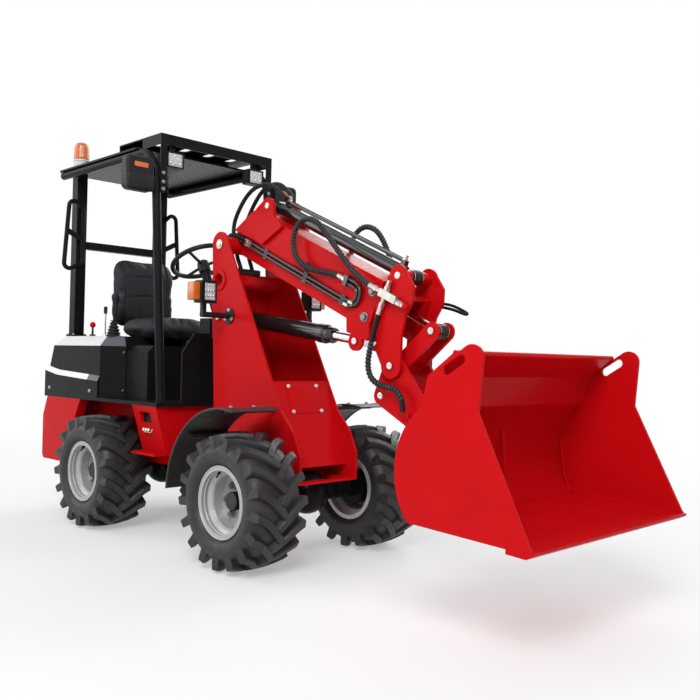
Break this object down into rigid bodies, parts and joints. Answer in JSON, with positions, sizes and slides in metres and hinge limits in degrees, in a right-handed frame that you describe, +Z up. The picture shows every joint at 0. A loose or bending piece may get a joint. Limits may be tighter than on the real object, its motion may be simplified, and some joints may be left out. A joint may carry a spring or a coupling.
{
  "type": "articulated wheel loader",
  "caption": "Compact articulated wheel loader with telescopic boom, wide bucket on a tilting hitch, open canopy over a driver seat and chunky lugged tyres.",
  "frame": {"origin": "on the ground under the middle of the machine's box", "axes": "+X forward along the machine, +Y to its left, +Z up"},
  "size_m": [3.8835, 1.216, 2.395],
  "materials": {
    "red": "gloss red paint",
    "black_paint": "satin black paint",
    "chrome": "polished rod",
    "zinc": "zinc plated",
    "silver": "silver paint",
    "tyre": "moulded rubber",
    "plastic": "moulded black",
    "vinyl": "black vinyl",
    "amber": "amber lens",
    "iron": "cast",
    "line_rubber": "hose cover"
  },
  "bodies": {
    "rear_body": {"rear_chassis": "red", "counterweight": "red", "deck": "black_paint", "hood": "black_paint", "rear_grille": "black_paint", "engine_block": "iron", "seat_box": "black_paint", "seat_cushion": "vinyl", "seat_back": "vinyl", "control_levers": "plastic", "footwell_panel": "black_paint", "steering_column": "black_paint", "side_tanks": "red", "rear_axle": "black_paint", "rear_posts": "black_paint", "side_tubes": "black_paint", "roof_panel": "black_paint", "roof_guard": "black_paint", "grab_handles": "black_paint", "mirrors": "plastic", "beacon": "amber", "work_lights": "plastic"},
    "hand_wheel": {"steering_wheel": "plastic"},
    "front_body": {"tower": "red", "boom_pin": "zinc", "front_axle": "black_paint", "fenders": "plastic", "headlights": "plastic"},
    "boom_body": {"outer_boom": "red", "telescope_barrel": "black_paint", "boom_pipes": "black_paint", "boom_hoses": "line_rubber"},
    "slide_body": {"inner_boom": "red", "telescope_rod": "chrome", "head_fittings": "zinc", "hitch_hose": "line_rubber"},
    "tool_body": {"hitch": "red", "bucket": "red"},
    "lift_barrel_body": {"lift_barrel": "black_paint"},
    "lift_rod_body": {"lift_rod": "chrome"},
    "tilt_barrel_body": {"tilt_barrel": "black_paint"},
    "tilt_rod_body": {"tilt_rod": "chrome"},
    "steer_barrel_body": {"steer_barrel": "black_paint"},
    "steer_rod_body": {"steer_rod": "chrome"},
    "wheel_front_left": {"tyre_front_left": "tyre", "rim_front_left": "silver"},
    "wheel_front_right": {"tyre_front_right": "tyre", "rim_front_right": "silver"},
    "wheel_rear_left": {"tyre_rear_left": "tyre", "rim_rear_left": "silver"},
    "wheel_rear_right": {"tyre_rear_right": "tyre", "rim_rear_right": "silver"}
  },
  "joints": [
    {"name": "steer", "type": "hinge", "parent": "rear_body", "child": "front_body", "pos_m": [-0.4725, 0, 0.446], "axis": [0, 0, 1], "range_deg": [-40, 40]},
    {"name": "boom_lift", "type": "hinge", "parent": "front_body", "child": "boom_body", "pos_m": [-0.3285, 0, 1.636], "axis": [0, -1, 0], "range_deg": [-22, 50]},
    {"name": "telescope", "type": "slide", "parent": "boom_body", "child": "slide_body", "axis": [0.9135, 0, -0.4067], "range_m": [0, 0.5]},
    {"name": "bucket_tilt", "type": "hinge", "parent": "slide_body", "child": "tool_body", "pos_m": [0.87355, 0, 0.99463], "axis": [0, 1, 0], "range_deg": [-25, 50]},
    {"name": "hand_wheel_turn", "type": "hinge", "parent": "rear_body", "child": "hand_wheel", "pos_m": [-0.7795, 0, 1.59], "axis": [-0.454, 0, 0.891], "continuous": true},
    {"name": "lift_swing", "type": "hinge", "parent": "front_body", "child": "lift_barrel_body", "pos_m": [-0.3245, 0, 1.236], "axis": [0, -1, 0], "range_deg": [-22.28, 49.37]},
    {"name": "lift_stroke", "type": "slide", "parent": "lift_barrel_body", "child": "lift_rod_body", "axis": [0.9908, 0, -0.1356], "range_m": [-0.1464, 0.3302]},
    {"name": "tilt_swing", "type": "hinge", "parent": "slide_body", "child": "tilt_barrel_body", "pos_m": [0.36792, 0, 1.47918], "axis": [0, 1, 0], "range_deg": [-4.83, 9.17]},
    {"name": "tilt_stroke", "type": "slide", "parent": "tilt_barrel_body", "child": "tilt_rod_body", "axis": [0.906, 0, -0.4233], "range_m": [-0.0882, 0.1744]},
    {"name": "steer_swing", "type": "hinge", "parent": "rear_body", "child": "steer_barrel_body", "pos_m": [-0.9525, 0.12, 0.448], "axis": [0, 0, 1], "range_deg": [-3.89, 3.89]},
    {"name": "steer_stroke", "type": "slide", "parent": "steer_barrel_body", "child": "steer_rod_body", "axis": [0.9988, 0.0481, 0], "range_m": [-0.0974, 0.0974]},
    {"name": "roll_front_left", "type": "hinge", "parent": "front_body", "child": "wheel_front_left", "pos_m": [0.2055, 0.423, 0.33], "axis": [0, 1, 0], "continuous": true},
    {"name": "roll_front_right", "type": "hinge", "parent": "front_body", "child": "wheel_front_right", "pos_m": [0.2055, -0.423, 0.33], "axis": [0, 1, 0], "continuous": true},
    {"name": "roll_rear_left", "type": "hinge", "parent": "rear_body", "child": "wheel_rear_left", "pos_m": [-1.1505, 0.423, 0.33], "axis": [0, 1, 0], "continuous": true},
    {"name": "roll_rear_right", "type": "hinge", "parent": "rear_body", "child": "wheel_rear_right", "pos_m": [-1.1505, -0.423, 0.33], "axis": [0, 1, 0], "continuous": true}
  ],
  "couplings": [
    {"joint": "lift_swing", "follows": "boom_lift", "ratio": 0.96738},
    {"joint": "lift_stroke", "follows": "boom_lift", "m_per_rad": 0.3761},
    {"joint": "tilt_swing", "follows": "bucket_tilt", "ratio": 0.1734},
    {"joint": "tilt_stroke", "follows": "bucket_tilt", "m_per_rad": 0.1976},
    {"joint": "steer_swing", "follows": "steer", "ratio": 0.08466},
    {"joint": "steer_stroke", "follows": "steer", "m_per_rad": -0.13659}
  ]
}
